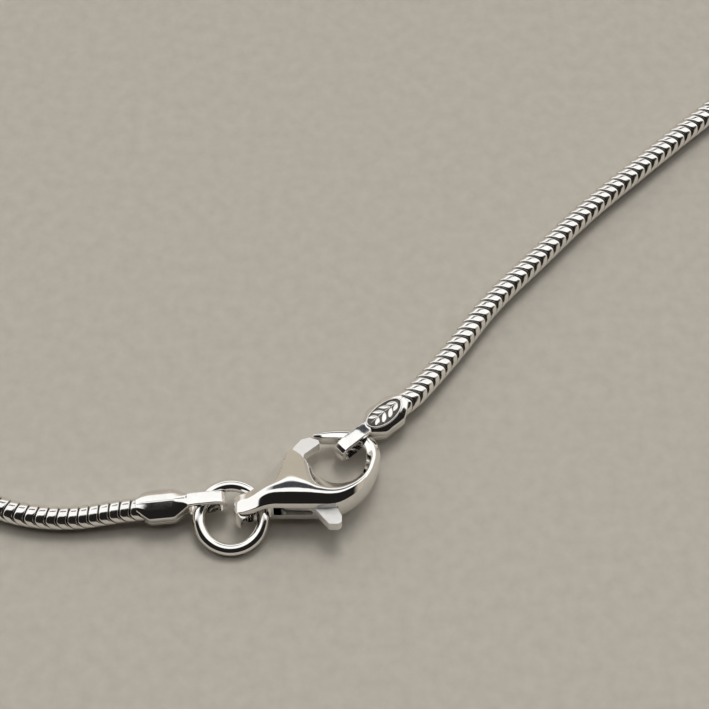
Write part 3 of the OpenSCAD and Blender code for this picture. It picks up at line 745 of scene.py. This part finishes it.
# A dark core closes the view between the links: painted shade in the gaps
core_s, core_phi = np.meshgrid(np.linspace(CORE_SHORT, total - CORE_SHORT, CORE_SECTIONS),
                               np.linspace(0, 360, CORE_SIDES, endpoint=False), indexing="ij")
core = add_mesh("chain_shade_core", *loft(round_chain(core_s, core_phi, np.full(core_s.shape, CORE_R))), LAYOUT)
outward(core)
dress(core, PATINA_AND_SHADE)
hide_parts("chain")

# ---------------------------------------------------------------- floor
FLOOR_HALF = 900
floor_corners = [[x * FLOOR_HALF, y * FLOOR_HALF, 0] for x, y in ((-1, -1), (1, -1), (1, 1), (-1, 1))]
floor = add_mesh("floor", floor_corners, [[0, 1, 2, 3]])
paper = bpy.data.materials.new("floor_paper")
paper.use_nodes = True
pn, pl = paper.node_tree.nodes, paper.node_tree.links.new
speck = pn.new("ShaderNodeTexNoise")
speck.inputs["Scale"].default_value = 900
speck.inputs["Detail"].default_value = 3
spot = pn.new("ShaderNodeTexCoord")
beige = tone(paper.node_tree, [(0.3, (0.445, 0.415, 0.365)), (0.7, (0.495, 0.460, 0.405))])
pl(spot.outputs["Object"], speck.inputs["Vector"])
pl(speck.outputs["Fac"], beige.inputs["Fac"])
pl(beige.outputs["Color"], pn["Principled BSDF"].inputs["Base Color"])
pn["Principled BSDF"].inputs["Roughness"].default_value = 0.95
pn["Principled BSDF"].inputs["Specular IOR Level"].default_value = 0.1
floor.data.materials.append(paper)

# ---------------------------------------------------------------- studio
# What the silver mirrors, seen from the floor behind over the zenith to the floor in front, in degrees:
# straight ahead, towards the flanks and far to the sides
BEIGE, WHITE = (0.46, 0.41, 0.34), (1, 0.995, 0.985)
BLACK, GREY = (0.013, 0.012, 0.011), (0.05, 0.052, 0.06)
MIDDLE = [(0, BEIGE), (18, BEIGE), (25, WHITE), (42, WHITE), (44.5, GREY), (53.5, GREY), (56.5, WHITE),
          (96, WHITE), (100.5, BLACK), (174, BLACK), (179, BEIGE)]
FLANK = [(0, BEIGE), (18, BEIGE), (25, WHITE), (96, WHITE), (100.5, BLACK), (174, BLACK), (179, BEIGE)]
SIDES = [(0, BEIGE), (18, BEIGE), (30, WHITE), (66, WHITE), (88, BEIGE), (179, BEIGE)]
# How far to the side the flanks and the sides take over, as shares of the way
TO_FLANK, TO_SIDES = (0.24, 0.42), (0.88, 0.94)

world = bpy.data.worlds.new("studio")
bpy.context.scene.world = world
world.use_nodes = True
wn, wl = world.node_tree.nodes, world.node_tree.links.new
where = wn.new("ShaderNodeTexCoord")
split = wn.new("ShaderNodeSeparateXYZ")
wl(where.outputs["Generated"], split.inputs[0])


def math_node(operation, *values):
    """A math node whose inputs are sockets or numbers."""
    node = wn.new("ShaderNodeMath")
    node.operation = operation
    for socket, value in zip(node.inputs, values):
        if isinstance(value, float):
            socket.default_value = value
        else:
            wl(value, socket)
    return node.outputs[0]


def by(socket, stops):
    node = tone(world.node_tree, stops)
    wl(socket, node.inputs["Fac"])
    return node.outputs["Color"]


def blend(low, high, share_of):
    node = wn.new("ShaderNodeMix")
    node.data_type = "RGBA"
    wl(share_of, node.inputs["Factor"])
    wl(low, node.inputs[6])
    wl(high, node.inputs[7])
    return node.outputs[2]


half_turn = math_node("DIVIDE", math_node("ARCTAN2", split.outputs["Z"], split.outputs["Y"]), math.pi)
aside = math_node("ABSOLUTE", split.outputs["X"])
ahead, flank, sides = (by(half_turn, [(a / 180, colour) for a, colour in stops])
                       for stops in (MIDDLE, FLANK, SIDES))
to_flank, to_sides = (by(aside, [(low, [0] * 3), (high, [1] * 3)]) for low, high in (TO_FLANK, TO_SIDES))
wl(blend(blend(ahead, flank, to_flank), sides, to_sides), wn["Background"].inputs["Color"])
wn["Background"].inputs["Strength"].default_value = 1.08

sun_data = bpy.data.lights.new("soft_key", "SUN")
sun_data.energy, sun_data.angle, sun_data.color = 1.3, rad(24), (1.0, 0.985, 0.96)
sun = bpy.data.objects.new("soft_key", sun_data)
sun.rotation_euler = (rad(-32), rad(6), 0)
sun.visible_glossy = False
bpy.context.scene.collection.objects.link(sun)

# ---------------------------------------------------------------- camera
ELEVATION, DISTANCE, AIM = 61.0, 185.46, (4.0, 14.5, 0)
cam_data = bpy.data.cameras.new("camera")
cam_data.lens, cam_data.sensor_width = 108.487, 36
cam_data.clip_start, cam_data.clip_end = 0.005, 5
cam = bpy.data.objects.new("camera", cam_data)
cam.location = (HOME + AIM + DISTANCE * heading(-90, ELEVATION)) * MM
cam.rotation_euler = (rad(90 - ELEVATION), 0, 0)
bpy.context.scene.collection.objects.link(cam)
bpy.context.scene.camera = cam
bpy.context.scene.view_settings.view_transform = "Standard"
